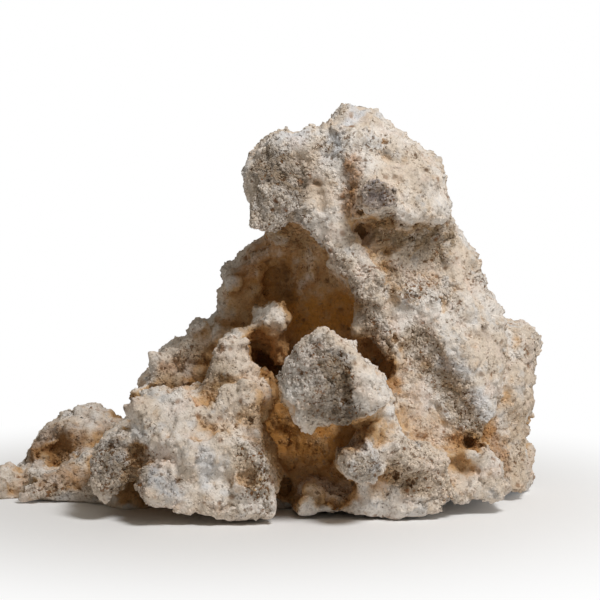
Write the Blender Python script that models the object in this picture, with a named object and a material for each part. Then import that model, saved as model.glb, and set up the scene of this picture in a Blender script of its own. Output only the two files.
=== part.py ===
"""A reef base rock: one piece of porous, cream coloured reef limestone, about 290 mm long.

The rock stands on a flat spot. +Z is up, +X runs along its length towards the side ledge, and -Y is its
front, where the fist and the two caves are. The origin is in the middle of the flat spot.

It is made the way such a rock reads: slabs and boulders that run together, hollows dissolved out of them,
a skin weathered at three scales, and a flat cut where it stands.
"""

import math

import bmesh
import bpy
from mathutils import Euler, Vector, noise

MM = 0.001

SKIN_VOXEL = 2.2 * MM
KEPT_FACES = 0.08
BOULDER_CORNERS = 24
BOULDER_SQUARING = 0.65
BOULDER_REACH = 0.95
BOULDER_ROUGHNESS = 0.2
BOULDER_GRAIN = 1.7
GOLDEN_ANGLE = math.pi * (3 - math.sqrt(5))
SEED_STEP = Vector((2.1, 1.1, 0.7))
# Each slab face rises in two steps: how far inwards and how far out, as shares of the rounding.
CROWN_STEPS = ((0.4, 0.56), (1.0, 0.35))
GROUND_SIZE = 600 * MM
GROUND_DEPTH = 60 * MM

# Slabs: outline seen from the front as (x, z), then how far forward the face stands (y), how thick the slab
# is, how the face falls back to the right and upwards (mm per mm), and how far its edges are rounded. In mm.
SLABS = {
    "snout": (
        ((-1, 166), (2, 173), (7, 178), (11, 182), (16, 185), (25, 186), (35, 185), (43, 180), (49, 168), (51, 152),
         (54, 133), (57, 114), (58, 103), (52, 103), (49, 108), (41, 114), (36, 126), (31, 135), (26, 141), (18, 142),
         (8, 141), (2, 143), (-1, 152)),
        -44, 44, (0, 0.15), 6),
    "brow": (
        ((38, 186), (41, 192), (46, 196), (58, 194), (67, 188), (75, 180), (82, 178), (87, 174), (94, 171), (98, 166),
         (99, 155), (102, 147), (100, 142), (88, 138), (78, 139), (70, 141), (62, 143), (55, 142), (50, 150),
         (48, 162), (42, 172)),
        -44, 66, (0.15, 0.35), 8),
    "neck": (((50, 152), (99, 147), (107, 130), (95, 118), (60, 116)), -30, 52, (0.15, 0.1), 6),
    "face": (
        ((51, 105), (54, 122), (59, 129), (72, 130), (94, 140), (101, 140), (108, 130), (115, 123), (115, 110),
         (119, 103), (125, 96), (126, 78), (123, 55), (114, 36), (101, 31), (88, 22), (74, 31), (68, 46), (64, 60),
         (58, 74), (51, 82)),
        -37, 70, (0.15, 0.2), 6),
    "right_flank": (
        ((114, 118), (120, 100), (127, 91), (132, 87), (143, 89), (149, 85), (151, 74), (145, 69), (143, 58),
         (145, 47), (144, 32), (142, 24), (144, 12), (143, 3), (126, 2), (105, 4), (102, 23), (110, 37), (115, 81)),
        -8, 50, (0.5, 0.15), 6),
    "front_block": (((101, 27), (104, 34), (112, 35), (122, 32), (126, 22), (128, 10), (124, 3), (102, 4)),
                    -52, 40, (0.2, 0), 4),
    "front_foot": (((58, 41), (71, 44), (88, 37), (101, 33), (102, 11), (98, 4), (88, 2), (54, 3), (50, 8), (52, 16),
                    (60, 25)), -64, 60, (0, 0.1), 6),
    "fist": (
        ((14, 69), (18, 77), (24, 87), (32, 91), (39, 94), (46, 89), (53, 86), (56, 78), (65, 71), (66, 60), (59, 52),
         (52, 48), (42, 49), (29, 45), (22, 48), (20, 56)),
        -88, 34, (0, 0), 5),
    "fist_root": (((50, 62), (66, 65), (72, 59), (70, 43), (58, 41), (50, 47)), -68, 50, (0, 0), 4),
    "low_knob": (((41, 28), (43, 35), (50, 41), (57, 42), (62, 37), (64, 29), (60, 21), (52, 18), (44, 22)),
                 -86, 34, (0, 0), 4),
    "toe": (((22, 2), (23, 9), (28, 17), (35, 18), (43, 14), (50, 9), (54, 2)), -60, 34, (0, 0.3), 3),
    "tower": (
        ((-22, 58), (-20, 67), (-16, 76), (-14, 82), (-8, 87), (-2, 89), (1, 87), (4, 79), (7, 73), (12, 68), (14, 61),
         (14, 54), (8, 45), (-3, 42), (-20, 46)),
        -50, 34, (0, 0.2), 4),
    "left_mass": (
        ((-56, 51), (-56, 57), (-52, 61), (-47, 63), (-41, 62), (-32, 62), (-25, 60), (-19, 56), (-3, 54), (8, 49),
         (12, 39), (16, 30), (18, 23), (17, 12), (11, 4), (-8, 2), (-33, 4), (-40, 12), (-45, 21), (-46, 32),
         (-52, 39)),
        -72, 46, (0, 0.35), 8),
    "knuckle": (((-74, 30), (-71, 38), (-64, 44), (-57, 46), (-48, 43), (-43, 35), (-43, 20), (-50, 19), (-57, 18),
                 (-62, 14), (-65, 7), (-69, 5), (-74, 12)), -66, 46, (0, 0), 5),
    "middle_block": (((-52, 54), (-50, 64), (-47, 74), (-41, 75), (-32, 79), (-30, 76), (-31, 50), (-50, 44)),
                     -12, 60, (0.1, 0.1), 4),
    "tail_ledge": (((-76, 3), (-74, 24), (-79, 27), (-87, 22), (-95, 15), (-104, 8), (-114, 3), (-112, 1)),
                   -14, 40, (0, 0.4), 4),
    "column": (((-36, 46), (-35, 66), (-31, 84), (-28, 88), (-17, 91), (-8, 91), (1, 83), (5, 60), (-4, 44)),
               -5, 40, (0, 0), 5),
    "steps": (((-18, 90), (-17, 96), (-18, 102), (-14, 107), (-14, 114), (-9, 116), (-5, 121), (-2, 124), (5, 126),
               (8, 130), (21, 128), (31, 119), (26, 89), (1, 81), (-12, 85)), 8, 40, (-0.1, 0), 4),
    "cave_wall": (((20, 98), (24, 114), (34, 126), (50, 126), (62, 108), (62, 78), (63, 58), (41, 54), (21, 58),
                   (16, 80)), -6, 50, (-0.3, 0), 3),
    "low_wall": (((5, 46), (21, 51), (53, 43), (55, 10), (50, 2), (9, 2), (11, 19)), -28, 50, (0, 0), 3),
    "back_low": (
        ((-34, 5), (-42, 20), (-36, 38), (-20, 50), (-2, 58), (20, 54), (44, 60), (60, 52), (84, 58), (104, 50),
         (126, 52), (137, 38), (134, 16), (122, 4), (90, 6), (40, 3), (0, 5)),
        26, 60, (0, -0.2), 8),
    "back_middle": (
        ((-20, 46), (-24, 68), (-16, 88), (2, 100), (22, 96), (46, 108), (66, 98), (88, 106), (104, 94), (120, 84),
         (126, 62), (112, 46), (60, 42), (10, 42)),
        16, 60, (-0.1, -0.3), 8),
    "back_high": (
        ((4, 92), (0, 112), (8, 128), (24, 140), (46, 134), (66, 146), (84, 136), (104, 118), (100, 96), (60, 88)),
        6, 54, (0.1, -0.35), 8),
    "back_crown": (((28, 130), (26, 154), (36, 174), (52, 188), (68, 182), (84, 166), (94, 150), (88, 130)),
                   0, 42, (0, -0.3), 7),
    "back_spur": (((-48, 6), (-54, 22), (-44, 42), (-28, 54), (-14, 46), (-8, 24), (-16, 5)), 16, 60, (0.25, -0.2), 7),
    "back_rib": (((58, 14), (52, 44), (60, 74), (72, 84), (84, 66), (88, 38), (82, 12)), 40, 56, (0.1, -0.25), 6),
}

# Boulders and hollows: middle (x, y, z), half sizes (x, y, z), both in mm, and lean about Y in degrees.
BOULDERS = {
    "head_core": ((51, 12, 150), (36, 30, 36), 0),
    "crown": ((46, -14, 170), (14, 24, 17), 0),
    "crown_back": ((58, 20, 172), (22, 22, 17), 0),
    "cheek": ((11, -45, 150), (13, 9, 13), 0),
    "brow_knob": ((63, -53, 154), (12, 10, 10), 0),
    "brow_side": ((88, -34, 156), (10, 14, 12), 0),
    "face_rib": ((60, -36, 106), (8, 10, 24), -8),
    "face_swell": ((82, -30, 96), (22, 12, 22), 0),
    "face_brow": ((104, -24, 90), (12, 12, 20), 15),
    "side_swell": ((130, 6, 55), (12, 18, 12), 0),
    "side_ledge": ((141, 12, 80), (11, 16, 8), 0),
    "foot_swell": ((80, -60, 30), (12, 10, 10), 0),
    "mass_swell": ((-18, -71, 34), (20, 10, 14), 0),
    "mass_corner": ((-38, -70, 18), (12, 12, 12), 0),
    "mass_low": ((4, -72, 22), (11, 10, 14), 0),
    "mass_top": ((-42, -44, 51), (12, 14, 8), 0),
    "tower_root": ((-4, -56, 58), (14, 10, 12), 0),
    "ball": ((15, -20, 91), (10, 10, 11), 0),
    "ball_root": ((12, -6, 88), (11, 16, 15), 0),
    "step_knob": ((-6, 14, 110), (8, 12, 8), 0),
    "back_core": ((50, 40, 60), (66, 34, 64), 0),
    "back_knob": ((34, 70, 94), (18, 14, 16), 20),
    "back_chin": ((72, 74, 78), (22, 14, 12), -12),
    "back_foot": ((46, 84, 14), (26, 14, 16), 0),
    "side_foot": ((122, 34, 14), (22, 26, 16), 0),
    "middle_hump": ((-41, 48, 48), (17, 20, 17), 0),
    "saddle": ((-58, 22, 30), (14, 20, 9), 0),
    "mass_knob": ((-54, -14, 55), (6, 14, 6), 0),
    "hump": ((-82, 40, 25), (18, 22, 15), 0),
    "hump_knob": ((-95, 38, 27), (9, 12, 7), 0),
    "hump_step": ((-104, 34, 14), (13, 18, 13), 0),
    "tail": ((-122, 16, 2), (24, 22, 13), 0),
    "tail_foot": ((-92, 10, 2), (24, 22, 12), 8),
    "under_ledge": ((-60, -14, 6), (24, 22, 12), 0),
    "belly": ((20, 10, 16), (96, 52, 26), 0),
    "face_ridge": ((107, -35, 67), (8, 12, 28), -28),
    "foot_fill": ((67, -62, 37), (11, 12, 9), 0),
    "fist_lobe": ((57, -78, 62), (8, 10, 11), 0),
    "ball_stalk": ((15, -14, 78), (6, 9, 12), -20),
    "snout_root": ((20, 2, 134), (13, 18, 12), 0),
}
HOLLOWS = {
    "snout_dip": ((22, -50, 167), (10, 6, 9), 0),
    "brow_groove": ((49, -51, 157), (4, 8, 13), -8),
    "brow_recess": ((80, -47, 136), (17, 14, 8), -2),
    "gully": ((95, -47, 63), (6, 9, 27), -31),
    "fist_gap": ((61, -42, 76), (7, 20, 11), -30),
    "dark_slot": ((8, -30, 76), (5, 20, 12), -30),
    "cave_hollow": ((13, 2, 110), (9, 12, 8), 0),
    "fist_slot": ((38, -70, 36), (9, 16, 5), 0),
    "fist_gully": ((46, -91, 69), (4, 11, 16), -6),
    "mouth": ((109, -46, 35), (6, 8, 3), 12),
    "crease": ((124, -27, 31), (5, 9, 10), 15),
    "foot_pocket": ((76, -66, 20), (6, 9, 4), 0),
    "toe_hollow": ((44, -62, 9), (4, 10, 5), 0),
    "low_hole": ((19, -50, 10), (6, 22, 9), 0),
    "knuckle_arch": ((-54, -52, 9), (10, 16, 10), 0),
    "knuckle_pocket": ((-49, -71, 35), (4, 7, 5), 10),
    "mass_pocket": ((0, -80, 25), (4, 6, 5), -20),
    "tail_recess": ((-100, 10, 22), (14, 20, 8), -30),
    "hump_pocket": ((-68, 12, 27), (8, 9, 6), 0),
    "side_pocket": ((146, 22, 34), (9, 12, 10), 0),
    "back_cave": ((24, 92, 58), (19, 22, 12), 12),
    "back_pocket": ((98, 88, 36), (12, 16, 9), -20),
    "back_slot": ((-2, 84, 34), (5, 16, 18), -18),
    "nape_dip": ((72, 58, 124), (14, 14, 8), 20),
    "crown_pit": ((48, 40, 164), (8, 10, 7), 0),
    "hump_back": ((-64, 62, 34), (12, 14, 9), 0),
}

# Weather: kind of pattern, size and depth in mm, the level that stays in place, and the pattern's own settings.
WEATHER = {
    "swells": ("CLOUDS", 42, 8, 0.5, {"noise_depth": 0}),
    "scallops": ("VORONOI", 20, 4, 0.5, {}),
    "crags": ("CLOUDS", 11, 4, 0.5, {"noise_type": "HARD_NOISE", "noise_depth": 1}),
}


def boulder(into, middle, half_sizes, lean, seed):
    """Adds one boulder: the hull of corners spread over a squared-off ellipsoid, some pushed in, some out."""
    turn = Euler((0, math.radians(lean), 0)).to_matrix()
    roll = Euler(SEED_STEP * seed).to_matrix()
    corners = []
    for i in range(BOULDER_CORNERS):
        height = 1 - 2 * (i + 0.5) / BOULDER_CORNERS
        ring = math.sqrt(1 - height * height)
        angle = i * GOLDEN_ANGLE + seed
        out = Vector((ring * math.cos(angle), ring * math.sin(angle), height))
        reach = BOULDER_REACH + BOULDER_ROUGHNESS * noise.noise((out + SEED_STEP * seed) * BOULDER_GRAIN)
        block = roll @ Vector(math.copysign(abs(c) ** BOULDER_SQUARING, c) for c in out) * reach
        corner = turn @ Vector(block[k] * half_sizes[k] for k in range(3))
        corners.append(into.verts.new((corner + Vector(middle)) * MM))
    hull = bmesh.ops.convex_hull(into, input=corners)
    inside = {v for v in hull["geom_interior"] if isinstance(v, bmesh.types.BMVert)}
    bmesh.ops.delete(into, geom=list(inside), context="VERTS")


def slab(into, outline, front, thickness, fall, rounding):
    """Adds one slab: its outline as a face, carried back through the thickness, with both faces crowned."""
    middle = sum((Vector(point) for point in outline), Vector((0, 0))) / len(outline)
    rings = [
        [into.verts.new((x * MM, y * MM, z * MM)) for x, z in outline]
        for y in (front + rounding, front + thickness - rounding)
    ]
    caps = [into.faces.new(ring) for ring in rings]
    for i in range(len(outline)):
        j = (i + 1) % len(outline)
        into.faces.new((rings[0][i], rings[0][j], rings[1][j], rings[1][i]))
    corners = {*rings[0], *rings[1]}
    for cap, outwards in zip(caps, (-1, 1)):
        cap.normal_update()
        if cap.normal.y * outwards < 0:
            cap.normal_flip()
        for inwards, up in CROWN_STEPS:
            grown = bmesh.ops.inset_region(into, faces=[cap], thickness=rounding * inwards * MM,
                                           depth=rounding * up * MM, use_even_offset=True)
            corners.update(v for face in grown["faces"] for v in face.verts)
    for corner in corners:
        x, y, z = corner.co
        corner.co.y = y + fall[0] * (x - middle.x * MM) + fall[1] * (z - middle.y * MM)


def placed(name, into):
    """The finished bmesh as an object in the scene."""
    bmesh.ops.recalc_face_normals(into, faces=into.faces)
    mesh = bpy.data.meshes.new(name)
    into.to_mesh(mesh)
    into.free()
    obj = bpy.data.objects.new(name, mesh)
    bpy.context.scene.collection.objects.link(obj)
    return obj


def gathered(name, slabs, boulders):
    """Slabs and boulders in one object, each a closed shell that overlaps its neighbours."""
    into = bmesh.new()
    for values in slabs.values():
        slab(into, *values)
    for seed, values in enumerate(boulders.values()):
        boulder(into, *values, seed + 1)
    return placed(name, into)


def ground():
    """The block below z = 0 that cuts the rock flat where it stands."""
    into = bmesh.new()
    bmesh.ops.create_cube(into, size=1)
    bmesh.ops.scale(into, vec=(GROUND_SIZE, GROUND_SIZE, GROUND_DEPTH), verts=into.verts)
    bmesh.ops.translate(into, vec=(0, 0, -GROUND_DEPTH / 2), verts=into.verts)
    return placed("ground", into)


def skin(rock):
    """Runs the shells together under one skin of even faces."""
    remesh = rock.modifiers.new("skin", "REMESH")
    remesh.mode = "VOXEL"
    remesh.voxel_size = SKIN_VOXEL


def cut_away(rock, cutter):
    """Takes the cutter out of the rock. A cutter is no part of the rock itself."""
    cutter.hide_render = True
    cutter.display_type = "WIRE"
    cut = rock.modifiers.new(cutter.name, "BOOLEAN")
    cut.operation = "DIFFERENCE"
    cut.object = cutter


def weather(rock, name, kind, size, depth, still_level, settings):
    """Pushes the skin in and out along its normals by a pattern."""
    pattern = bpy.data.textures.new(name, kind)
    pattern.noise_scale = size * MM
    for key, value in settings.items():
        setattr(pattern, key, value)
    displace = rock.modifiers.new(name, "DISPLACE")
    displace.texture = pattern
    displace.texture_coords = "LOCAL"
    displace.strength = depth * MM
    displace.mid_level = still_level


def limestone():
    """Dry, chalky and cream coloured."""
    material = bpy.data.materials.new("reef_limestone")
    material.use_nodes = True
    shader = material.node_tree.nodes["Principled BSDF"]
    shader.inputs["Base Color"].default_value = (0.62, 0.53, 0.43, 1)
    shader.inputs["Roughness"].default_value = 0.95
    return material


def main():
    for old in list(bpy.data.objects):
        bpy.data.objects.remove(old)

    rock = gathered("reef_base_rock", SLABS, BOULDERS)
    hollows = gathered("hollows", {}, HOLLOWS)
    skin(rock)
    skin(hollows)
    cut_away(rock, hollows)
    for name, values in WEATHER.items():
        weather(rock, name, *values)
    skin(rock)
    thin = rock.modifiers.new("thin", "DECIMATE")
    thin.ratio = KEPT_FACES
    cut_away(rock, ground())
    rock.data.materials.append(limestone())


main()
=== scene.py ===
import math

import bmesh
import bpy
import numpy as np
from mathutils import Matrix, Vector


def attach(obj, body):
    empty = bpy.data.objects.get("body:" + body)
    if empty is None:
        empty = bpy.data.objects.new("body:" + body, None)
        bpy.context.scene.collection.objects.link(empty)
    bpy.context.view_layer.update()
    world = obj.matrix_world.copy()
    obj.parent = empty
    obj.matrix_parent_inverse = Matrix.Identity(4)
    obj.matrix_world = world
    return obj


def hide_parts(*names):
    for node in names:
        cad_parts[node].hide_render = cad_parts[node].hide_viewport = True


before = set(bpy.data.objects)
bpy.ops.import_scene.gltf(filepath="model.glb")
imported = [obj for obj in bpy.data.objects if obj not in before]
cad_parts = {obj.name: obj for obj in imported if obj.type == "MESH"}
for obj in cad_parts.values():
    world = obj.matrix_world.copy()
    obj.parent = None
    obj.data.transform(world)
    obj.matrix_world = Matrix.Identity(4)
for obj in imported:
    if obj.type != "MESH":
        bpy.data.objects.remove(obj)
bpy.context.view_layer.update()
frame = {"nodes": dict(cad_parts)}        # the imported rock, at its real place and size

scene = bpy.context.scene
mm = 0.001
print("frame loaded:", ", ".join(frame["nodes"]))


# Helpers for the node trees and the meshes.

def addNode(tree, kind, inputs=None, **settings):
    made = tree.nodes.new(kind)
    for name, value in settings.items():
        setattr(made, name, value)
    for name, value in (inputs or {}).items():
        socket = made.inputs[name]
        if isinstance(value, bpy.types.NodeSocket):
            tree.links.new(value, socket)
        else:
            socket.default_value = value
    return made


def calc(tree, operation, *values, clamp=False):
    made = addNode(tree, "ShaderNodeMath", dict(enumerate(values)), operation=operation, use_clamp=clamp)
    return made.outputs[0]


def vectorCalc(tree, operation, *values):
    made = addNode(tree, "ShaderNodeVectorMath", dict(enumerate(values)), operation=operation)
    return made.outputs[1 if operation in ("LENGTH", "DOT_PRODUCT") else 0]


def scaled(tree, vector, factor):
    return addNode(tree, "ShaderNodeVectorMath", {0: vector, "Scale": factor}, operation="SCALE").outputs[0]


def ramped(tree, value, low, high, toLow=0.0, toHigh=1.0):
    made = addNode(tree, "ShaderNodeMapRange", {"Value": value, "From Min": low, "From Max": high,
                                               "To Min": toLow, "To Max": toHigh},
                   interpolation_type="SMOOTHSTEP")
    return made.outputs[0]


def scaleFor(tree, size):
    # a texture's scale for features of a size, which is a number or a socket
    return calc(tree, "DIVIDE", 1.0, size) if isinstance(size, bpy.types.NodeSocket) else 1 / size


def cloud(tree, place, size, detail=3.0, roughness=0.6):
    # soft noise between 0 and 1, with lumps of the given size
    made = addNode(tree, "ShaderNodeTexNoise", {"Vector": place, "Scale": scaleFor(tree, size),
                                                "Detail": detail, "Roughness": roughness})
    return made.outputs[0]


def cells(tree, place, size):
    return addNode(tree, "ShaderNodeTexVoronoi", {"Vector": place, "Scale": scaleFor(tree, size)})


def drawn(tree, low, high, seed, step):
    # a number or a vector drawn for each point between low and high; each step has draws of its own
    vector = isinstance(low, tuple)
    first = 0 if vector else 2      # the node's sockets for a vector come before those for a number
    made = addNode(tree, "FunctionNodeRandomValue",
                   {first: low, first + 1: high, "Seed": calc(tree, "ADD", seed, float(step))},
                   data_type="FLOAT_VECTOR" if vector else "FLOAT")
    return made.outputs[0 if vector else 1]


def warped(tree, place, size, reach, detail):
    # the place pushed about by noise, so that what follows it isn't regular
    noise = addNode(tree, "ShaderNodeTexNoise", {"Vector": place, "Scale": 1 / size, "Detail": detail})
    wander = vectorCalc(tree, "SUBTRACT", noise.outputs["Color"], (0.5, 0.5, 0.5))
    return vectorCalc(tree, "ADD", place, scaled(tree, wander, reach))


def pitField(tree, place, size, share):
    # round pits of mixed widths: 1 in the middle of a pit, 0 outside; share is how many cells hold one
    grid = cells(tree, place, size)
    lot = addNode(tree, "ShaderNodeSeparateXYZ", {0: grid.outputs["Color"]})
    width = calc(tree, "MULTIPLY_ADD", lot.outputs[0], 0.34, 0.14)
    inside = ramped(tree, calc(tree, "DIVIDE", grid.outputs["Distance"], width), 1.0, 0.3)
    chosen = calc(tree, "LESS_THAN", lot.outputs[1], share)
    return calc(tree, "MULTIPLY", inside, chosen)


def plainMesh(obj, name):
    # the evaluated shape as a new object with a plain mesh and no modifiers; the old object goes
    bpy.context.view_layer.update()
    evaluated = obj.evaluated_get(bpy.context.evaluated_depsgraph_get())
    mesh = bpy.data.meshes.new_from_object(evaluated)
    made = bpy.data.objects.new(name, mesh)
    scene.collection.objects.link(made)
    bpy.data.objects.remove(obj)
    return made


def triangleCount(mesh):
    return sum(len(face.vertices) - 2 for face in mesh.polygons)


def vectorsOf(items, field):
    found = np.empty(len(items) * 3)
    items.foreach_get(field, found)
    return found.reshape(-1, 3)


def inputName(key):
    # the value "chipSize" is the tree's input "Chip Size"
    return "".join(" " + letter if letter.isupper() else letter for letter in key).title()


def newTree(name, values):
    # a geometry tree with a Geometry input and output, and one named input for each value
    tree = bpy.data.node_groups.new(name, "GeometryNodeTree")
    for way in ("INPUT", "OUTPUT"):
        tree.interface.new_socket("Geometry", in_out=way, socket_type="NodeSocketGeometry")
    for key, value in values.items():
        if isinstance(value, bpy.types.Material):
            kind = "NodeSocketMaterial"
        elif isinstance(value, int):
            kind = "NodeSocketInt"
        else:
            kind = "NodeSocketFloat"
        tree.interface.new_socket(inputName(key), in_out="INPUT", socket_type=kind).default_value = value
    return tree, tree.nodes.new("NodeGroupInput"), tree.nodes.new("NodeGroupOutput")


def nodesModifier(obj, tree, values):
    # the tree's named inputs are set by their identifiers
    modifier = obj.modifiers.new(tree.name, "NODES")
    modifier.node_group = tree
    named = {inputName(key): value for key, value in values.items()}
    for socket in tree.interface.items_tree:
        if socket.item_type == "SOCKET" and socket.in_out == "INPUT" and socket.name in named:
            modifier[socket.identifier] = named[socket.name]


def storeValue(tree, geometry, name, value):
    # the geometry with a value kept for each of its points
    stored = addNode(tree, "GeometryNodeStoreNamedAttribute",
                     {"Geometry": geometry, "Name": name, "Value": value}, data_type="FLOAT", domain="POINT")
    return stored.outputs[0]


# Limestone: its colours, the sizes of its noises and how strongly each layer shows.

stone = {
    "cream": (0.69, 0.59, 0.485),
    "pale": (0.79, 0.735, 0.675),
    "pink": (0.72, 0.595, 0.51),
    "blueWhite": (0.62, 0.615, 0.61),
    "honey": (0.57, 0.42, 0.28),
    "coat": (0.30, 0.225, 0.15),        # dark crust on the rough stretches
    # rust and painted shade: the warm brown where shelter is deep, partly the stone's stain and partly
    # painted warm shade
    "rust": (0.46, 0.245, 0.09),
    "brownShade": (0.84, 0.62, 0.38),   # what shelter leaves of the red, green and blue
    # the colours the specks, pores and pits are painted: partly their brown, partly painted shade in the
    # holes
    "pitBrownAndShade": (0.16, 0.083, 0.034),
    "pitRustAndShade": (0.24, 0.11, 0.04),
    "roughness": 0.93,
    "specular": 0.2,
    "driftSize": 27 * mm,
    "tintSize": 12.5 * mm,
    "mottleSize": 6.1 * mm,
    "stretchSize": 21 * mm,             # of the rough stretches
    "blotchSize": 3.3 * mm,
    "dentEdgeSize": 1.9 * mm,
    "grainSize": 1.0 * mm,
    "speckSize": 1.7 * mm,
    "speckShare": 0.345,
    "poreSize": 5.2 * mm,
    "poreShare": 0.38,
    "poreWarp": (3 * mm, 1.6 * mm),     # how wide and how far the pores are pushed about
    "holeShare": 0.96,                  # how dark the specks and pores are
    "lumpSize": 2.7 * mm,
    "bumpHeight": 1.0 * mm,
    # each ramp: where it begins and is full, then its least and its most where they aren't 0 and 1
    "brownRamp": (0.14, 0.38),
    "rustAndShadeRamp": (0.29, 0.58, 0, 0.9),
    "patchRamp": (0.34, 0.56, 0.5, 1.0),
    "stretchRamp": (0.50, 0.72, 0, 0.7),
    "coatRamp": (0.58, 0.80, 0, 0.7),
    "dentRamp": (0.46, 0.64, 0, 0.8),
    "unevenRamp": (-0.3, 1.0, 0.55, 1.15),
    "speckRamp": (-0.05, 0.06),
    "poreRamp": (-0.3, 0.6, 0.5, 0.95),
    "darkRamp": (0.44, 0.58),
    # the broad colours over the cream: the noise that each follows, its ramp and its tone
    "layers": (
        ("drift", (0.42, 0.60), "pale"),
        ("tint", (0.50, 0.66, 0, 0.6), "pink"),
        ("tint", (0.46, 0.32, 0, 0.65), "blueWhite"),
        ("mottle", (0.53, 0.72, 0, 0.6), "honey"),
    ),
}


def mixColour(tree, share, first, second):
    mixed = addNode(tree, "ShaderNodeMix", {"Factor": share}, data_type="RGBA")
    for socket, value in ((mixed.inputs[6], first), (mixed.inputs[7], second)):
        if isinstance(value, bpy.types.NodeSocket):
            tree.links.new(value, socket)
        else:
            socket.default_value = (*value, 1)
    return mixed.outputs[2]


def stoneColour(tree, place, attribute):
    # the broad colours; also gives the tint, and how rough the stone is
    mottle = cloud(tree, place, stone["mottleSize"], 4.0, 0.62)
    noises = {"drift": cloud(tree, place, stone["driftSize"]), "tint": cloud(tree, place, stone["tintSize"]),
              "mottle": mottle}
    colour = stone["cream"]
    for noise, ramp, tone in stone["layers"]:
        colour = mixColour(tree, ramped(tree, noises[noise], *ramp), colour, stone[tone])

    # painted shade: shelter browns the stone, and where it is deep paints it the rust brown of stain and
    # painted warm shade
    enclosed = calc(tree, "ADD", attribute("shelter"), calc(tree, "MULTIPLY_ADD", mottle, 0.3, -0.15))
    shade = mixColour(tree, ramped(tree, enclosed, *stone["brownRamp"]), (1, 1, 1), stone["brownShade"])
    colour = vectorCalc(tree, "MULTIPLY", colour, shade)
    colour = mixColour(tree, ramped(tree, enclosed, *stone["rustAndShadeRamp"]), colour, stone["rust"])

    # patches in named places, broken up by the mottling
    patch = addNode(tree, "ShaderNodeAttribute", attribute_name="patch")
    broken = calc(tree, "MULTIPLY", patch.outputs["Alpha"], ramped(tree, mottle, *stone["patchRamp"]))
    colour = mixColour(tree, broken, colour, patch.outputs["Color"])

    # rough stretches have a dark crust in blotches
    stretch = cloud(tree, place, stone["stretchSize"])
    rough = calc(tree, "ADD", attribute("coarse"), ramped(tree, stretch, *stone["stretchRamp"]))
    blotch = calc(tree, "MULTIPLY_ADD", rough, 0.17, cloud(tree, place, stone["blotchSize"]))
    colour = mixColour(tree, ramped(tree, blotch, *stone["coatRamp"]), colour, stone["coat"])

    # the pits are painted dark, as brown and as painted shade, with ragged edges
    edge = cloud(tree, place, stone["dentEdgeSize"], 2.0)
    dent = calc(tree, "MULTIPLY_ADD", edge, 2.2, calc(tree, "SUBTRACT", attribute("pit"), 1.1))
    colour = mixColour(tree, ramped(tree, dent, *stone["dentRamp"]), colour, stone["pitBrownAndShade"])
    return colour, noises["tint"], rough


def stoneHoles(tree, place, rough, proud):
    # how deep each point lies in a speck or a pore; a loose grain has no specks
    level = calc(tree, "MULTIPLY_ADD", rough, 0.11, stone["speckShare"])
    noise = cloud(tree, place, stone["speckSize"], 1.5, 0.5)
    specks = ramped(tree, calc(tree, "SUBTRACT", level, noise), *stone["speckRamp"])
    specks = calc(tree, "MULTIPLY", specks, calc(tree, "SUBTRACT", 1.0, proud))
    strong = calc(tree, "MULTIPLY_ADD", rough, 0.75, 0.36, clamp=True)
    bent = warped(tree, place, *stone["poreWarp"], 1.0)
    pores = pitField(tree, bent, stone["poreSize"], stone["poreShare"])
    pores = calc(tree, "MULTIPLY", pores, ramped(tree, rough, *stone["poreRamp"]))
    return calc(tree, "MAXIMUM", calc(tree, "MULTIPLY", specks, strong), pores)


def limestone(name):
    material = bpy.data.materials.new(name)
    material.use_nodes = True
    tree = material.node_tree
    shader = tree.nodes["Principled BSDF"]
    place = addNode(tree, "ShaderNodeTexCoord").outputs["Object"]

    def attribute(kept):
        return addNode(tree, "ShaderNodeAttribute", attribute_name=kept).outputs["Fac"]

    colour, tint, rough = stoneColour(tree, place, attribute)

    # grains of lighter and darker stone, more uneven where it is rough; a loose grain has its own tone
    grain = calc(tree, "SUBTRACT", cloud(tree, place, stone["grainSize"], 2.0), 0.5)
    uneven = ramped(tree, rough, *stone["unevenRamp"])
    light = calc(tree, "ADD", calc(tree, "MULTIPLY_ADD", grain, uneven, 1.0), attribute("grainTone"))
    colour = scaled(tree, colour, light)

    holes = stoneHoles(tree, place, rough, attribute("proud"))
    # painted shade in the specks and pores: they are darkened to brown, turning rust-brown where the tint
    # runs high
    dark = mixColour(tree, ramped(tree, tint, *stone["darkRamp"]), stone["pitBrownAndShade"], stone["pitRustAndShade"])
    colour = mixColour(tree, calc(tree, "MULTIPLY", holes, stone["holeShare"]), colour, dark)
    tree.links.new(colour, shader.inputs["Base Color"])
    shader.inputs["Roughness"].default_value = stone["roughness"]
    shader.inputs["Specular IOR Level"].default_value = stone["specular"]

    lumps = cloud(tree, place, stone["lumpSize"], 4.0)
    height = calc(tree, "MULTIPLY_ADD", lumps, 1.1, calc(tree, "MULTIPLY", grain, 0.5))
    height = calc(tree, "MULTIPLY_ADD", holes, -0.4, calc(tree, "MULTIPLY", height, uneven))
    bump = addNode(tree, "ShaderNodeBump",
                   {"Strength": 1.0, "Distance": stone["bumpHeight"], "Height": height})
    tree.links.new(bump.outputs["Normal"], shader.inputs["Normal"])
    return material


limestoneSkin = limestone("reefLimestone")
print("limestone mixed")


# The rock: the solid's own shape, smoothed, then weathered in chips, crags and pits.

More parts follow.
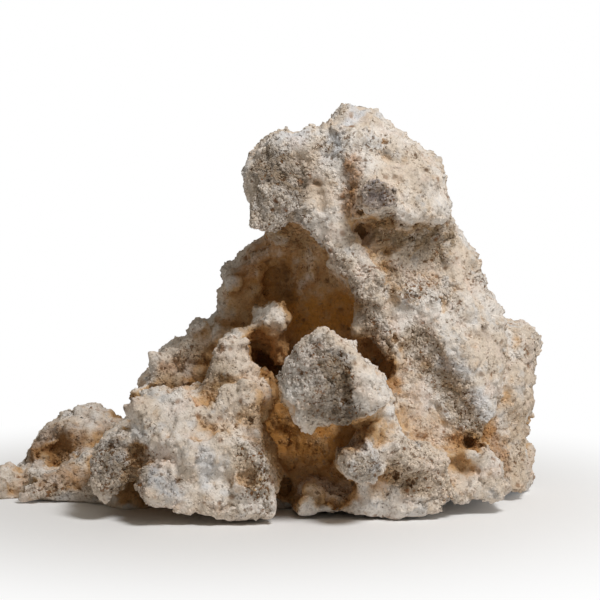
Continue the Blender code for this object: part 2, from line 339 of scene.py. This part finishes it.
rock = {
    "mergeGap": 0.001 * mm,
    "voxel": 1.0 * mm,
    "smoothing": (0.5, 3),      # how much, and how many times
    "triangles": 195000,
    "warp": (12 * mm, 6 * mm),  # how wide and how far the weathering is pushed about
    "stretchSize": 38 * mm,     # of the stretches that have more or fewer pits
    "pitMark": 2.4 * mm,        # a pit of this depth is marked as a full one
    "rays": 28,                 # sent from each point to find its shelter
    "blur": 3,
    "weather": {
        "chipSize": 15 * mm,
        "chipTilt": 0.34,
        "smallChipSize": 6.5 * mm,
        "smallChipTilt": 0.40,
        "cragSize": 10 * mm,
        "cragHeight": 3.0 * mm,
        "grainSize": 2.4 * mm,
        "grainHeight": 0.8 * mm,
        "pitSize": 9 * mm,
        "pitDepth": 2.6 * mm,
        "pitShare": 0.35,
        "smallPitSize": 4.2 * mm,
        "smallPitDepth": 1.3 * mm,
        "smallPitShare": 0.55,
        "settle": 1.1 * mm,     # the rough skin is drawn in by this much, so its outline stays the solid's
        "footFlat": 0.4 * mm,   # no weathering up to here, and all of it from the foot's height on
        "footHeight": 4 * mm,
    },
    "shelter": {"reach": 70 * mm, "lift": 1.2 * mm, "seed": 11},
}

# Pits in their own places: middle (mm), radius (mm) and depth (mm).
pits = {
    "eye": ((56, -33, 136), 4.2, 5.0),
    "grooveFoot": ((54, -44, 145), 3.0, 3.0),
    "snoutHigh": ((12, -40, 167), 2.6, 2.0),
    "snoutRight": ((25, -38, 171), 2.4, 1.8),
    "snoutMiddle": ((18, -41, 162), 3.2, 2.4),
    "headFront": ((64, -37, 173), 2.4, 1.8),
    "knobFoot": ((68, -56, 147), 2.8, 2.2),
    "headRight": ((83, -44, 157), 2.6, 1.8),
    "browCreviceA": ((69, -42, 141), 2.8, 3.0),
    "browCreviceB": ((75, -41, 141), 2.4, 2.2),
    "browCreviceC": ((82, -39, 141), 2.6, 2.6),
    "browCreviceD": ((92, -28, 137), 2.8, 2.6),
    "underBrow": ((80, -32, 133), 2.4, 2.0),
    "massLeft": ((-31, -75, 21), 2.8, 2.4),
    "massMiddle": ((-10, -75, 28), 2.4, 2.0),
    "knucklePocket": ((-52, -66, 33), 5.0, 5.0),
    "knucklePocketLow": ((-51, -66, 28), 4.0, 4.0),
    "massCrackA": ((-19, -62, 46), 2.4, 2.0),
    "massCrackB": ((-15, -63, 45), 2.4, 2.4),
    "massCrackC": ((-11, -66, 44), 2.4, 1.8),
    "faceHigh": ((109, -23, 115), 2.6, 2.0),
    "faceMiddle": ((81, -39, 106), 2.6, 2.0),
    "faceRight": ((95, -36, 103), 2.8, 2.2),
    "faceLeft": ((72, -41, 85), 2.8, 2.2),
    "faceUnderBand": ((81, -31, 116), 2.4, 1.8),
    "fistNotch": ((55, -68, 49), 4.0, 3.5),
    "fistLow": ((47, -87, 61), 2.6, 2.2),
    "fistLeft": ((26, -88, 74), 2.4, 1.8),
    "fistMiddle": ((36, -90, 63), 2.4, 2.0),
    "slotLeft": ((104, -43, 34), 3.0, 3.8),
    "slotMiddle": ((108, -39, 34), 3.4, 4.4),
    "slotRight": ((112, -42, 33), 2.8, 3.4),
    "lowRightA": ((71, -65, 22), 3.2, 3.0),
    "lowRightB": ((78, -66, 19), 3.0, 2.6),
    "lowRightC": ((86, -66, 27), 2.2, 2.0),
    "lowRightD": ((79, -70, 33), 2.2, 1.8),
    "wingFoot": ((121, -37, 67), 2.6, 2.0),
    "towerFoot": ((2, -61, 48), 2.8, 2.2),
}


def nearness(points, middle, radius):
    # 1 at the middle (mm), falling to 0 at the radius (mm)
    gap = np.linalg.norm(points - np.array(middle) * mm, axis=1) / (radius * mm)
    return np.clip(1 - gap * gap, 0, 1)


def carvePits(obj):
    # draws the skin in round each named pit, and marks it in the pit attribute
    mesh = obj.data
    points, normals = vectorsOf(mesh.vertices, "co"), vectorsOf(mesh.vertex_normals, "vector")
    depth = np.zeros(len(points))
    for middle, radius, deep in pits.values():
        depth = np.maximum(depth, deep * mm * nearness(points, middle, radius))
    mesh.vertices.foreach_set("co", (points - normals * depth[:, None]).ravel())
    marks = mesh.attributes["pit"].data
    marked = np.empty(len(points), dtype=np.float32)
    marks.foreach_get("value", marked)
    marks.foreach_set("value", np.maximum(marked, depth / rock["pitMark"]).astype(np.float32))
    mesh.update()


# Small pulls that finish the outline: middle (mm), radius (mm) and the move at the middle (mm).
pulls = {
    "snoutHeel": ((9, -49, 143), 14, (-4, 0, -4)),
    "snoutCheek": ((0, -12, 172), 14, (2.5, 0, -0.5)),
    "headCorner": ((90, -27, 172), 10, (-2, 0, -2)),
    "browFront": ((80, -45, 147), 16, (0, -3, -3)),
    "browKnobTip": ((63, -62, 153), 14, (0, 6, 0)),
    "rightShoulder": ((119, -30, 99), 14, (-3, 0, -1)),
    "blockCorner": ((-46, -8, 70), 10, (-3, -3, 3)),
    "knobShoulder": ((-57, -15, 50), 12, (-5, -2, 0)),
    "massCorner": ((-55, -58, 52), 9, (-4, 0, 3)),
    "caveShoulder": ((-7, 15, 118), 14, (2, 0, -2)),
    "blockSlope": ((-38, 30, 76), 12, (1.5, 0, -2.5)),
    "flankLow": ((142, 32, 26), 10, (1.2, 0, 0)),
    "flankFoot": ((141, -2, 13), 9, (-1.5, 0, 0)),
    "massLobe": ((4, -70, 36), 16, (3, -4, 1)),
    "humpLeft": ((-104, 27, 28), 9, (2, 0, -2)),
}


def pullShape(obj):
    # moves the skin round each pull, most at its middle
    points = vectorsOf(obj.data.vertices, "co")
    moved = points.copy()
    for middle, radius, move in pulls.values():
        hold = nearness(points, middle, radius) ** 2
        moved += hold[:, None] * np.array(move) * mm
    obj.data.vertices.foreach_set("co", moved.ravel())
    obj.data.update()


def weatherTree():
    tree, start, end = newTree("weather", rock["weather"])
    give = start.outputs
    place = addNode(tree, "GeometryNodeInputPosition").outputs[0]
    bent = warped(tree, place, *rock["warp"], 2.0)

    # chipped faces: each cell is a plane tilted its own way
    height = None
    for kind in ("Chip", "Small Chip"):
        grid = cells(tree, bent, give[kind + " Size"])
        lean = vectorCalc(tree, "SUBTRACT", grid.outputs["Color"], (0.5, 0.5, 0.5))
        away = vectorCalc(tree, "SUBTRACT", bent, grid.outputs["Position"])
        part = calc(tree, "MULTIPLY", vectorCalc(tree, "DOT_PRODUCT", lean, away), give[kind + " Tilt"])
        height = part if height is None else calc(tree, "ADD", height, part)

    # crags: ridges where the noise turns over, and finer roughness
    turn = calc(tree, "SUBTRACT", cloud(tree, bent, give["Crag Size"], 4.0, 0.62), 0.5)
    ridge = calc(tree, "SUBTRACT", 0.12, calc(tree, "ABSOLUTE", turn))
    height = calc(tree, "MULTIPLY_ADD", ridge, calc(tree, "MULTIPLY", give["Crag Height"], 3.0), height)
    grain = calc(tree, "SUBTRACT", cloud(tree, place, give["Grain Size"], 2.0), 0.5)
    height = calc(tree, "MULTIPLY_ADD", grain, calc(tree, "MULTIPLY", give["Grain Height"], 2.0), height)

    # pits, thicker in some stretches than in others, and marked to be painted darker, partly as shade, where
    # they are large
    stretch = ramped(tree, cloud(tree, place, rock["stretchSize"], 2.0, 0.55), 0.36, 0.64, 0.35, 1.0)
    pit = 0.0
    for kind, mark in (("Pit", 1.0), ("Small Pit", 0.45)):
        field = pitField(tree, bent, give[kind + " Size"], give[kind + " Share"])
        field = calc(tree, "MULTIPLY", field, stretch)
        height = calc(tree, "SUBTRACT", height, calc(tree, "MULTIPLY", field, give[kind + " Depth"]))
        pit = calc(tree, "MAXIMUM", pit, calc(tree, "MULTIPLY", field, mark))

    # the foot stays flat
    rise = addNode(tree, "ShaderNodeSeparateXYZ", {0: place}).outputs[2]
    clear = ramped(tree, rise, give["Foot Flat"], give["Foot Height"])
    height = calc(tree, "MULTIPLY", calc(tree, "SUBTRACT", height, give["Settle"]), clear)
    normal = addNode(tree, "GeometryNodeInputNormal").outputs[0]
    moved = addNode(tree, "GeometryNodeSetPosition",
                    {"Geometry": give["Geometry"], "Offset": scaled(tree, normal, height)})
    tree.links.new(storeValue(tree, moved.outputs[0], "pit", pit), end.inputs["Geometry"])
    return tree


def shelterTree():
    # how enclosed each point is: the share of short rays from it that meet the rock, the near hits most
    tree, start, end = newTree("shelter", rock["shelter"])
    give = start.outputs
    place = addNode(tree, "GeometryNodeInputPosition").outputs[0]
    normal = addNode(tree, "GeometryNodeInputNormal").outputs[0]
    source = vectorCalc(tree, "ADD", place, scaled(tree, normal, give["Lift"]))
    total = None
    for number in range(rock["rays"]):
        lot = vectorCalc(tree, "NORMALIZE", drawn(tree, (-1, -1, -1), (1, 1, 1), give["Seed"], number))
        aim = vectorCalc(tree, "NORMALIZE", vectorCalc(tree, "ADD", normal, lot))
        ray = addNode(tree, "GeometryNodeRaycast",
                      {"Target Geometry": give["Geometry"], "Source Position": source,
                       "Ray Direction": aim, "Ray Length": give["Reach"]})
        near = calc(tree, "SUBTRACT", 1.0, calc(tree, "DIVIDE", ray.outputs["Hit Distance"], give["Reach"]))
        met = calc(tree, "MULTIPLY", ray.outputs["Is Hit"], calc(tree, "MULTIPLY_ADD", near, 0.7, 0.3))
        total = met if total is None else calc(tree, "ADD", total, met)
    share = calc(tree, "DIVIDE", total, float(rock["rays"]))
    soft = addNode(tree, "GeometryNodeBlurAttribute", {"Value": share, "Iterations": rock["blur"]},
                   data_type="FLOAT")
    tree.links.new(storeValue(tree, give["Geometry"], "shelter", soft.outputs[0]), end.inputs["Geometry"])
    return tree


def evenSkin(solid):
    # the solid with its points joined, under an even skin with softened facets
    mesh = solid.data.copy()
    merged = bmesh.new()
    merged.from_mesh(mesh)
    bmesh.ops.remove_doubles(merged, verts=merged.verts, dist=rock["mergeGap"])
    merged.to_mesh(mesh)
    merged.free()
    obj = bpy.data.objects.new("rockDraft", mesh)
    scene.collection.objects.link(obj)
    remesh = obj.modifiers.new("evenSkin", "REMESH")
    remesh.mode = "VOXEL"
    remesh.voxel_size = rock["voxel"]
    remesh.use_smooth_shade = True
    smooth = obj.modifiers.new("softFacets", "SMOOTH")
    smooth.factor, smooth.iterations = rock["smoothing"]
    return obj


def weatheredRock():
    obj = evenSkin(frame["nodes"]["reef_base_rock"])
    nodesModifier(obj, weatherTree(), rock["weather"])
    obj = plainMesh(obj, "rockFine")
    carvePits(obj)
    pullShape(obj)
    count = triangleCount(obj.data)
    print("fine skin:", count, "triangles")
    thin = obj.modifiers.new("thin", "DECIMATE")
    thin.ratio = min(1.0, rock["triangles"] / count)
    nodesModifier(obj, shelterTree(), rock["shelter"])
    obj = plainMesh(obj, "rockSkin")
    # nothing reaches below the floor
    for vertex in obj.data.vertices:
        vertex.co.z = max(vertex.co.z, 0.0)
    return obj


rockSkin = weatheredRock()
print("rock weathered:", triangleCount(rockSkin.data), "triangles")


# Patches of colour in their places; some are painted shade in hollows and under overhangs.

patchEdge = {
    "reach": 1.15,              # where a patch ends, in its own radii
    "ragged": 0.25,             # how far the waves move that end
    "fade": 0.7,                # how wide the edge is
    "waves": (((0.9, 0.5, -0.7), 0.3), ((-0.4, 1.1, 0.6), 1.9), ((0.6, -0.3, 1.2), 4.1)),
}

tones = {
    "blueGrey": (0.42, 0.44, 0.47),
    "paleBlue": (0.68, 0.70, 0.73),
    "purple": (0.24, 0.205, 0.225),
    "darkCoat": (0.17, 0.13, 0.095),
    "greyCoat": (0.34, 0.30, 0.26),
    "umber": (0.26, 0.175, 0.088),
    # the cave and hollow tones below serve both the stone's stain and painted shade
    "caveBrown": (0.40, 0.18, 0.04),
    "caveOchre": (0.62, 0.30, 0.06),
    "deepBrown": (0.25, 0.115, 0.03),
    "rust": (0.43, 0.22, 0.085),
    "darkRustAndShade": (0.25, 0.125, 0.045),
    "blush": (0.74, 0.50, 0.34),
    "cream": (0.76, 0.66, 0.56),
    "sand": (0.60, 0.46, 0.32),
}

# Each runs from one point to another (mm) within a radius (mm), with a tone, the share of it, and how much
# coarser the stone is there; below 0 it is smoother.
patches = {
    "crownStreak": ((55, -24, 196), (40, -38, 174), 6, "paleBlue", 0.85, -0.8),
    "streakFoot": ((40, -38, 174), (33, -40, 162), 5, "paleBlue", 0.5, 0.1),
    "crownLeft": ((12, -30, 182), (26, -34, 182), 6, "paleBlue", 0.6, -0.5),
    # dark coat on the snout, darkened more as painted shade of its hollow
    "snoutCoat": ((11, -42, 168), (24, -42, 158), 13, "darkCoat", 0.75, 0.9),
    "snoutLow": ((8, -50, 149), (24, -46, 144), 12, "greyCoat", 0.45, 0.8),
    # rust-brown and painted shade in the groove beside the brow knob
    "browGroove": ((51, -42, 170), (50, -42, 148), 6, "rust", 0.8, 0.5),
    "headWarm": ((36, -40, 176), (36, -42, 152), 9, "sand", 0.35, 0.3),
    "headSmooth": ((33, -40, 158), (46, -42, 132), 7, "cream", 0.3, -0.5),
    "eyeRim": ((56, -36, 136), (58, -34, 132), 7, "cream", 0.6, -0.3),
    "browKnob": ((60, -54, 158), (66, -58, 150), 9, "purple", 0.7, 0.7),
    # painted shade under the brow's overhang and along its lower edge
    "underBrow": ((68, -33, 137), (98, -23, 136), 10, "umber", 0.85, 0.6),
    "browEdge": ((68, -44, 143), (90, -34, 140), 5, "umber", 0.6, 0.7),
    "belowBrow": ((80, -30, 127), (94, -28, 124), 8, "umber", 0.4, 0.4),
    "ridgeEdge": ((22, -48, 138), (56, -40, 112), 8, "cream", 0.25, 0.6),
    "faceEdge": ((56, -40, 109), (66, -44, 80), 8, "greyCoat", 0.5, 0.7),
    "faceHigh": ((62, -38, 116), (92, -32, 108), 11, "greyCoat", 0.15, 0.5),
    # dark coat and painted shade in the gully down the face
    "faceGully": ((84, -41, 84), (113, -40, 38), 10, "umber", 0.42, 0.8),
    "gullyRidge": ((111, -42, 58), (118, -38, 46), 5, "paleBlue", 0.6, 0.1),
    "faceBlue": ((96, -40, 74), (104, -42, 70), 6, "paleBlue", 0.55, 0.2),
    "fistCoat": ((27, -88, 80), (40, -89, 60), 17, "greyCoat", 0.5, 0.5),
    # dark coat and painted shade in the gully down the fist
    "fistGully": ((41, -89, 80), (49, -86, 52), 8, "darkCoat", 0.95, 0.8),
    "fistBase": ((34, -88, 56), (44, -86, 52), 6, "darkCoat", 0.6, 0.6),
    "fistLobe": ((56, -90, 68), (65, -86, 60), 8, "cream", 0.4, -0.5),
    "lowKnob": ((47, -66, 36), (58, -82, 28), 11, "greyCoat", 0.55, 0.6),
    "lowKnobBlue": ((58, -82, 38), (62, -82, 30), 6, "paleBlue", 0.5, 0.1),
    "knuckleCoat": ((-66, -66, 30), (-56, -68, 22), 16, "darkCoat", 0.55, 0.8),
    "tailCoat": ((-120, -8, 8), (-84, -12, 14), 14, "umber", 0.3, 0.2),
    # painted shade, with some stain, in the pocket beside the knuckle
    "knucklePocket": ((-52, -66, 34), (-50, -64, 28), 7, "darkRustAndShade", 0.7, 0.4),
    "massBlue": ((-18, -75, 35), (-18, -77, 20), 5, "paleBlue", 0.6, 0.0),
    "massBlueLow": ((-43, -77, 25), (-34, -77, 17), 7, "blueGrey", 0.7, 0.2),
    "massSpotA": ((-34, -46, 59), (-30, -46, 59), 5, "blush", 0.7, 0.1),
    "massSpotB": ((-26, -56, 57), (-22, -56, 56), 5, "blush", 0.7, 0.1),
    "massTop": ((-40, -52, 54), (-26, -66, 42), 13, "greyCoat", 0.15, -0.3),
    "massPorous": ((2, -73, 34), (8, -76, 18), 9, "umber", 0.3, 0.8),
    "massPocket": ((1, -74, 27), (0, -74, 22), 7, "sand", 0.6, 0.2),
    "towerRight": ((7, -50, 66), (0, -46, 78), 11, "cream", 0.8, -0.6),
    "towerFoot": ((2, -60, 52), (8, -58, 44), 7, "sand", 0.6, 0.5),
    "blockFace": ((-45, -7, 73), (-33, -8, 69), 10, "cream", 0.9, -0.8),
    "blockFoot": ((-40, -14, 63), (-24, -20, 62), 8, "sand", 0.7, 0.0),
    "blockBand": ((-43, -9, 67), (-31, -8, 70), 3.5, "blush", 0.8, 0.0),
    "blockShade": ((-26, -12, 78), (-14, -46, 66), 12, "umber", 0.5, 0.3),
    "flankPink": ((130, 0, 52), (134, 0, 36), 19, "sand", 0.3, -0.3),
    # rust and painted shade in the gap beside the fist and under the ball
    "gapRust": ((60, -30, 72), (68, -42, 62), 9, "rust", 0.8, 0.1),
    "belowBall": ((18, -24, 84), (20, -20, 70), 8, "rust", 0.7, 0.1),
    "ballPale": ((12, -28, 98), (16, -28, 92), 8, "cream", 0.55, 0.0),
    "mouthLeft": ((86, -48, 41), (97, -46, 38), 8, "cream", 0.5, 0.4),
    # rust and painted shade in the mouth
    "mouthRust": ((102, -40, 36), (112, -40, 31), 5, "rust", 0.85, 0.2),
    "creaseRust": ((122, -18, 36), (128, -13, 18), 8, "rust", 0.75, 0.4),
    "creaseFoot": ((128, -16, 20), (126, -40, 13), 5, "sand", 0.6, 0.2),
    # painted shade on the lower right corner, which faces away from the key and lies under an overhang
    "cornerBrown": ((136, -4, 38), (136, -10, 8), 9, "sand", 0.5, 0.1),
    "lowRightRough": ((79, -70, 34), (92, -63, 18), 13, "cream", 0.2, 0.5),
    "lowRightBrown": ((70, -68, 24), (84, -66, 18), 9, "sand", 0.55, 0.8),
    # the caves: stain and painted shade, brown and ochre, darkest deep inside and under the ridge
    "upperCave": ((6, 6, 120), (18, 9, 106), 20, "caveBrown", 0.7, 0.0),
    "upperCaveDeep": ((16, 9, 112), (20, 9, 106), 8, "darkRustAndShade", 0.7, 0.1),
    "upperCaveRight": ((30, 0, 90), (50, -8, 96), 14, "caveOchre", 0.85, 0.0),
    "underRidge": ((26, -6, 126), (14, -10, 136), 8, "umber", 0.5, 0.2),
    # painted shade over the lower cave wall, with its stain
    "caveWall": ((14, -28, 42), (44, -30, 30), 20, "caveBrown", 0.85, 0.0),
    "caveWallHigh": ((12, -26, 58), (32, -26, 50), 13, "deepBrown", 0.8, 0.0),
    "toePale": ((24, -47, 14), (46, -48, 12), 8, "cream", 0.6, 0.2),
    # painted shade in the recess of the hump
    "humpRecess": ((-106, 24, 22), (-92, 18, 26), 13, "darkRustAndShade", 0.8, 0.2),
    "ledgeStain": ((-98, -14, 12), (-80, -16, 14), 8, "rust", 0.5, 0.2),
    "tailStain": ((-126, -4, 7), (-114, -4, 7), 7, "umber", 0.6, 0.2),
}


def patchCover(points, waves, start, end, radius):
    # how much of a patch each point has: 1 along the middle, 0 past its ragged edge
    start, along = np.array(start), np.array(end) - np.array(start)
    part = np.clip((points - start) @ along / (along @ along), 0, 1)
    gap = np.linalg.norm(points - start - part[:, None] * along, axis=1) / radius
    cover = np.clip((patchEdge["reach"] + patchEdge["ragged"] * waves - gap) / patchEdge["fade"], 0, 1)
    return cover * cover * (3 - 2 * cover)


def paintPatches(obj):
    # lays the patches over each other, in the patch and coarse attributes
    points = vectorsOf(obj.data.vertices, "co") / mm
    # slow waves at odd angles break up the edges: the way each runs, and where it starts
    waves = [np.sin(points @ np.array(way) + turn) for way, turn in patchEdge["waves"]]
    waves = sum(waves) / len(waves)
    least = 1e-6
    colours, coarse = np.zeros((len(points), 4)), np.zeros(len(points))
    for start, end, radius, tone, share, grit in patches.values():
        cover = patchCover(points, waves, start, end, radius)
        coarse = np.maximum(coarse, grit * cover) if grit > 0 else coarse * (1 - cover) + grit * cover
        cover *= share
        left = colours[:, 3] * (1 - cover)
        total = left + cover
        mixed = colours[:, :3] * left[:, None] + np.array(tones[tone]) * cover[:, None]
        keep = total > least
        colours[keep, :3] = (mixed / np.maximum(total, least)[:, None])[keep]
        colours[:, 3] = total
    obj.data.attributes.new("patch", "FLOAT_COLOR", "POINT").data.foreach_set("color", colours.ravel())
    obj.data.attributes.new("coarse", "FLOAT", "POINT").data.foreach_set("value", coarse.astype(np.float32))


paintPatches(rockSkin)
print("patches painted:", len(patches))


# Crust: loose grains of stone, thick on the coarse stretches and thin elsewhere.

crust = {
    "grains": 9000,             # in each piece
    "coarseShare": 0.8,         # how thick the grains lie on the coarse stretches
    "driftSize": 9 * mm,
    "driftRamp": (0.42, 0.66),
    "stretch": ((0.6, 0.6, 0.7), (1.45, 1.45, 1.1)),
    "turn": ((-0.5, -0.5, 0.0), (0.5, 0.5, 6.28)),      # radians
    "seed": 5,
    "seedStep": 10,             # from one piece to the next
    "grain": {
        "smallest": 0.3 * mm,
        "largest": 1.0 * mm,
        "flatness": 0.75,
        "sunk": 0.32,
        "thinShare": 0.24,      # how thick the grains lie off the coarse stretches
        "toneSpread": 0.14,
    },
}

# each crust takes the skin between two heights and two sides (mm)
crustPieces = {
    "headCrust": (128, 250, -200, 200),
    "faceCrust": (4, 128, 66, 200),
    "middleCrust": (4, 128, -4, 66),
    "leftCrust": (4, 128, -200, -4),
}


def grainPoints(tree, give):
    # where the grains lie: thick on the coarse stretches, and in drifts elsewhere
    place = addNode(tree, "GeometryNodeInputPosition").outputs[0]
    where = addNode(tree, "ShaderNodeSeparateXYZ", {0: place})
    inside = None
    for value, low, high in ((where.outputs[2], "Low", "High"), (where.outputs[0], "Left", "Right")):
        kept = calc(tree, "MULTIPLY", calc(tree, "GREATER_THAN", value, give[low]),
                    calc(tree, "LESS_THAN", value, give[high]))
        inside = kept if inside is None else calc(tree, "MULTIPLY", inside, kept)
    coarse = addNode(tree, "GeometryNodeInputNamedAttribute", {"Name": "coarse"}, data_type="FLOAT")
    drift = ramped(tree, cloud(tree, place, crust["driftSize"]), *crust["driftRamp"])
    most = calc(tree, "MULTIPLY", coarse.outputs[0], crust["coarseShare"])
    thick = calc(tree, "MAXIMUM", calc(tree, "MULTIPLY_ADD", drift, give["Thin Share"], most), 0.0)
    density = calc(tree, "MULTIPLY", calc(tree, "MULTIPLY", thick, inside), give["Density"])
    return addNode(tree, "GeometryNodeDistributePointsOnFaces",
                   {"Mesh": give["Geometry"], "Density": density, "Seed": give["Seed"]}).outputs


def crustTree():
    # the shared values come from the dictionary; crustPiece sets the others for each piece
    own = {"density": 0.0, "low": 0.0, "high": 0.0, "left": 0.0, "right": 0.0, "seed": 0}
    tree, start, end = newTree("crust", {**crust["grain"], **own, "stone": limestoneSkin})
    give = start.outputs
    points = grainPoints(tree, give)
    lowest = calc(tree, "MULTIPLY", give["Tone Spread"], -1.0)
    spread = drawn(tree, lowest, give["Tone Spread"], give["Seed"], 1)
    marked = storeValue(tree, points["Points"], "grainTone", spread)
    marked = storeValue(tree, marked, "proud", 1.0)

    # each grain is a small ball, flattened, stretched and turned its own way, and sunk into the skin
    grain = addNode(tree, "GeometryNodeMeshIcoSphere", {"Radius": 1.0, "Subdivisions": 1})
    size = drawn(tree, give["Smallest"], give["Largest"], give["Seed"], 2)
    stretch = drawn(tree, *crust["stretch"], give["Seed"], 3)
    thin = calc(tree, "MULTIPLY", size, give["Flatness"])
    flat = addNode(tree, "ShaderNodeCombineXYZ", {0: size, 1: size, 2: thin}).outputs[0]
    instances = addNode(tree, "GeometryNodeInstanceOnPoints",
                        {"Points": marked, "Instance": grain.outputs[0], "Rotation": points["Rotation"],
                         "Scale": vectorCalc(tree, "MULTIPLY", flat, stretch)})
    turned = addNode(tree, "GeometryNodeRotateInstances",
                     {"Instances": instances.outputs[0],
                      "Rotation": drawn(tree, *crust["turn"], give["Seed"], 4)})
    down = addNode(tree, "ShaderNodeCombineXYZ", {2: calc(tree, "MULTIPLY", give["Sunk"], -1.0)})
    moved = addNode(tree, "GeometryNodeTranslateInstances",
                    {"Instances": turned.outputs[0],
                     "Translation": vectorCalc(tree, "MULTIPLY", down.outputs[0], flat)})
    real = addNode(tree, "GeometryNodeRealizeInstances", {"Geometry": moved.outputs[0]})
    dressed = addNode(tree, "GeometryNodeSetMaterial",
                      {"Geometry": real.outputs[0], "Material": give["Stone"]})
    tree.links.new(dressed.outputs[0], end.inputs["Geometry"])
    return tree


def weightedArea(obj, box):
    # the skin's area in the box, counted by how thick the grains lie on it
    mesh = obj.data
    areas, firsts = np.empty(len(mesh.polygons)), np.empty(len(mesh.polygons), dtype=np.int32)
    mesh.polygons.foreach_get("area", areas)
    mesh.polygons.foreach_get("loop_start", firsts)
    middles = vectorsOf(mesh.polygons, "center") / mm
    corners = np.empty(len(mesh.loops), dtype=np.int32)
    mesh.loops.foreach_get("vertex_index", corners)
    coarse = np.empty(len(mesh.vertices), dtype=np.float32)
    mesh.attributes["coarse"].data.foreach_get("value", coarse)
    # the drifts hold about half of what is off the coarse stretches
    thick = np.maximum(crust["coarseShare"] * coarse[corners[firsts]] + 0.5 * crust["grain"]["thinShare"], 0)
    low, high, left, right = box
    inside = (middles[:, 2] > low) & (middles[:, 2] < high) & (middles[:, 0] > left) & (middles[:, 0] < right)
    return float((areas * thick * inside).sum())


def crustPiece(name, tree, box, seed):
    obj = bpy.data.objects.new("crustDraft", rockSkin.data.copy())
    scene.collection.objects.link(obj)
    sides = {side: place * mm for side, place in zip(("low", "high", "left", "right"), box)}
    density = crust["grains"] / weightedArea(rockSkin, box)
    nodesModifier(obj, tree, {**crust["grain"], **sides, "density": density, "seed": seed})
    piece = plainMesh(obj, name)
    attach(piece, "root")
    print(name, "laid:", triangleCount(piece.data), "triangles")


grainTree = crustTree()
for number, (name, box) in enumerate(crustPieces.items()):
    crustPiece(name, grainTree, box, crust["seed"] + crust["seedStep"] * number)

rockSkin.data.materials.clear()
rockSkin.data.materials.append(limestoneSkin)
rockSkin.data.shade_smooth()
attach(rockSkin, "root")
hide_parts("reef_base_rock")
print("rock dressed")


# Studio: a pale floor, a soft key from the upper right, and a white room.

studio = {
    "floorSize": 8.0,
    "floorFade": (0.08, 0.30),          # from where, and to where, it turns white
    "floorColour": (0.90, 0.90, 0.90),
    "floorRoughness": 0.9,
    "keyPlace": (0.57, -0.68, 1.27),
    "keyTarget": (0.02, 0.0, 0.09),
    "keySize": 0.4,
    "keyPower": 16.6,
    "roomLight": 0.19,
    "roomTint": (1.0, 0.90, 0.76),      # of the light, not of what the camera sees
    "cameraTarget": (0.026, 0.0, 0.100),
    "cameraDistance": 1.1,
    "cameraRise": 5.0,                  # degrees above level
    "lens": 132.0,
    "sensor": 36.0,
}


def aimed(obj, place, target):
    obj.location = place
    obj.rotation_mode = "QUATERNION"
    obj.rotation_quaternion = (Vector(target) - Vector(place)).to_track_quat("-Z", "Y")


def buildFloor():
    half = studio["floorSize"] / 2
    corners = [(-half, -half, 0), (half, -half, 0), (half, half, 0), (-half, half, 0)]
    mesh = bpy.data.meshes.new("floor")
    mesh.from_pydata(corners, [], [(0, 1, 2, 3)])
    floor = bpy.data.objects.new("floor", mesh)
    scene.collection.objects.link(floor)
    paint = bpy.data.materials.new("floorPaint")
    paint.use_nodes = True
    tree = paint.node_tree
    shader = tree.nodes["Principled BSDF"]
    shader.inputs["Base Color"].default_value = (*studio["floorColour"], 1)
    shader.inputs["Roughness"].default_value = studio["floorRoughness"]
    # to the camera the floor fades into the white room away from the rock
    away = vectorCalc(tree, "LENGTH", addNode(tree, "ShaderNodeTexCoord").outputs["Object"])
    seen = addNode(tree, "ShaderNodeLightPath").outputs["Is Camera Ray"]
    fade = calc(tree, "MULTIPLY", ramped(tree, away, *studio["floorFade"]), seen)
    white = addNode(tree, "ShaderNodeEmission", {"Color": (1, 1, 1, 1), "Strength": 1.0})
    mixed = addNode(tree, "ShaderNodeMixShader", {0: fade, 1: shader.outputs[0], 2: white.outputs[0]})
    tree.links.new(mixed.outputs[0], tree.nodes["Material Output"].inputs["Surface"])
    mesh.materials.append(paint)


def buildKey():
    lamp = bpy.data.lights.new("key", "AREA")
    lamp.energy = studio["keyPower"]
    lamp.size = studio["keySize"]
    key = bpy.data.objects.new("key", lamp)
    scene.collection.objects.link(key)
    aimed(key, studio["keyPlace"], studio["keyTarget"])


def buildRoom():
    # the camera sees a white room, which lights the rock only weakly
    room = bpy.data.worlds.new("room")
    scene.world = room
    room.use_nodes = True
    tree = room.node_tree
    shader = tree.nodes["Background"]
    seen = addNode(tree, "ShaderNodeLightPath").outputs["Is Camera Ray"]
    strength = calc(tree, "MULTIPLY_ADD", seen, 1 - studio["roomLight"], studio["roomLight"])
    tree.links.new(strength, shader.inputs["Strength"])
    tree.links.new(mixColour(tree, seen, studio["roomTint"], (1, 1, 1)), shader.inputs["Color"])


def buildCamera():
    camera = bpy.data.objects.new("camera", bpy.data.cameras.new("camera"))
    camera.data.sensor_width = studio["sensor"]
    camera.data.lens = studio["lens"]
    scene.collection.objects.link(camera)
    rise = math.radians(studio["cameraRise"])
    target = Vector(studio["cameraTarget"])
    back = Vector((0, -math.cos(rise), math.sin(rise)))
    aimed(camera, target + back * studio["cameraDistance"], target)
    bpy.context.scene.camera = camera


buildFloor()
buildKey()
buildRoom()
buildCamera()
scene.view_settings.view_transform = "Standard"
print("studio lit")
